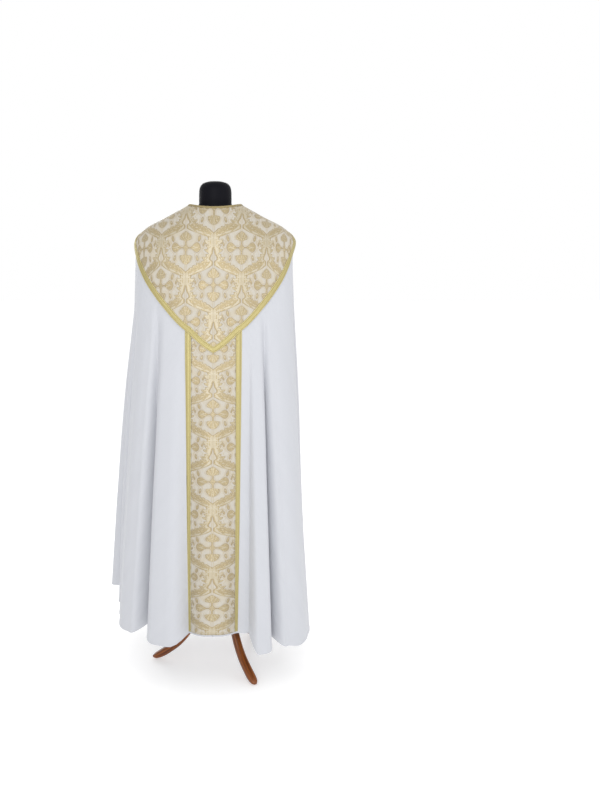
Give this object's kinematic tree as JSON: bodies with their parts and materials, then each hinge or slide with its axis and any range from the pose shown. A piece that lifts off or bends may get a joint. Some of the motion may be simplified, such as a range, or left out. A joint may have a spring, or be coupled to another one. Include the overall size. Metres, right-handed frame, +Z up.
{
  "type": "cope vestment on a tripod dress form",
  "caption": "White semicircular cope with brocade hood, pillar and front bands, gold braid and a neck clasp, worn by a black limbless dress form on a wooden tripod.",
  "frame": {"origin": "on the floor, at the middle of the object's box", "axes": "+Z up, the back of the cope with its hood faces +Y, the front opening faces -Y, the wearer's left is +X"},
  "size_m": [0.7006, 0.5308, 1.656],
  "materials": {
    "white_cloth": "matt smooth polyester twill",
    "brocade": "damask woven with a soft metallic yarn",
    "gold_braid": "woven metallic braid",
    "dark_braid": "woven braid",
    "clasp_metal": "polished filigree",
    "form_cover": "smooth jersey",
    "wood": "satin varnish"
  },
  "bodies": {
    "root": {"back_galloon_left": "gold_braid", "back_galloon_right": "gold_braid", "back_orphrey": "brocade", "clasp_chain": "clasp_metal", "clasp_rosette_left": "clasp_metal", "clasp_rosette_right": "clasp_metal", "form_hub": "wood", "form_leg_1": "wood", "form_leg_2": "wood", "form_leg_3": "wood", "form_post": "wood", "form_torso": "form_cover", "front_galloon_left": "gold_braid", "front_galloon_right": "gold_braid", "front_orphrey_left": "brocade", "front_orphrey_right": "brocade", "hood": "brocade", "hood_galloon": "gold_braid", "mantle_left": "white_cloth", "mantle_right": "white_cloth", "neck_binding": "dark_braid"}
  },
  "joints": []
}
